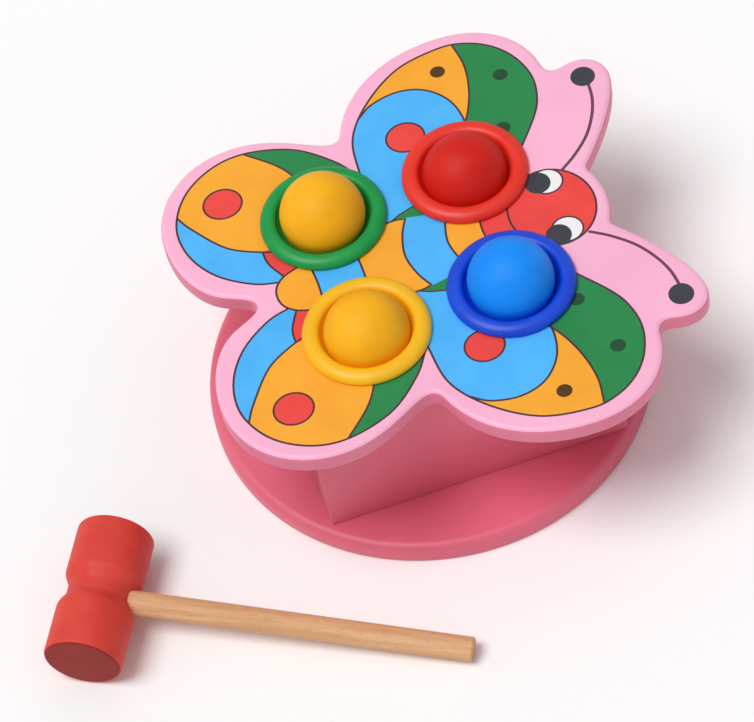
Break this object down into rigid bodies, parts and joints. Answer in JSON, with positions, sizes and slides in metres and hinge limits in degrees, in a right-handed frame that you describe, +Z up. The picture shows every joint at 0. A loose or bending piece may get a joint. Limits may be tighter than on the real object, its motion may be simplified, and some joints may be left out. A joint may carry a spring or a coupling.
{
  "type": "ball pounding box",
  "caption": "Butterfly-shaped pounding toy: balls are hammered through soft rings in a printed board and roll down a hidden ramp out of the tail end; comes with its hammer.",
  "frame": {"origin": "centre of the round base's underside, on the floor", "axes": "+X towards the butterfly's head, +Y towards the back wall, +Z up"},
  "size_m": [0.378, 0.3171, 0.1339],
  "materials": {
    "pink_board_paint": "satin pink paint on the butterfly board",
    "pink_body_paint": "satin dark pink paint on the base, walls and ramp",
    "bare_wood": "bare sanded wood",
    "red_soft": "soft red plastic, satin",
    "green_soft": "soft green plastic, satin",
    "yellow_soft": "soft yellow plastic, satin",
    "blue_soft": "soft blue plastic, satin",
    "red_lacquer": "red lacquer on turned wood",
    "yellow_lacquer": "yellow lacquer on turned wood",
    "blue_lacquer": "blue lacquer on turned wood",
    "steel": "zinc plated steel"
  },
  "bodies": {
    "box": {"top_board": "pink_board_paint", "base_disc": "pink_body_paint", "front_wall": "pink_body_paint", "back_wall": "pink_body_paint", "head_wall": "pink_body_paint", "ramp": "pink_body_paint", "ramp_wedge_front": "bare_wood", "ramp_wedge_back": "bare_wood", "ring_red": "red_soft", "ring_blue": "blue_soft", "ring_green": "green_soft", "ring_yellow": "yellow_soft", "dowel_front_tail": "bare_wood", "screw_front_tail": "steel", "dowel_front_head": "bare_wood", "screw_front_head": "steel", "dowel_back_tail": "bare_wood", "screw_back_tail": "steel", "dowel_back_head": "bare_wood", "screw_back_head": "steel", "dowel_head_front": "bare_wood", "screw_head_front": "steel", "dowel_head_back": "bare_wood", "screw_head_back": "steel"},
    "red_ball": {"ball_red": "red_lacquer"},
    "blue_ball": {"ball_blue": "blue_lacquer"},
    "back_yellow_ball": {"ball_yellow_back": "yellow_lacquer"},
    "front_yellow_ball": {"ball_yellow_front": "yellow_lacquer"},
    "hammer": {"hammer_head": "red_lacquer", "hammer_handle": "bare_wood"}
  },
  "joints": [
    {"name": "red_ball_push", "type": "slide", "parent": "box", "child": "red_ball", "axis": [0, 0, 1], "range_m": [-0.0446, 0.03], "deforming": ["ring_red"]},
    {"name": "blue_ball_push", "type": "slide", "parent": "box", "child": "blue_ball", "axis": [0, 0, 1], "range_m": [-0.0501, 0.03], "deforming": ["ring_blue"]},
    {"name": "back_yellow_ball_push", "type": "slide", "parent": "box", "child": "back_yellow_ball", "axis": [0, 0, 1], "range_m": [-0.061, 0.03], "deforming": ["ring_green"]},
    {"name": "front_yellow_ball_push", "type": "slide", "parent": "box", "child": "front_yellow_ball", "axis": [0, 0, 1], "range_m": [-0.0556, 0.03], "deforming": ["ring_yellow"]},
    {"name": "hammer_lift", "type": "slide", "parent": "box", "child": "hammer", "axis": [0, 0, 1], "range_m": [0, 0.15]}
  ]
}
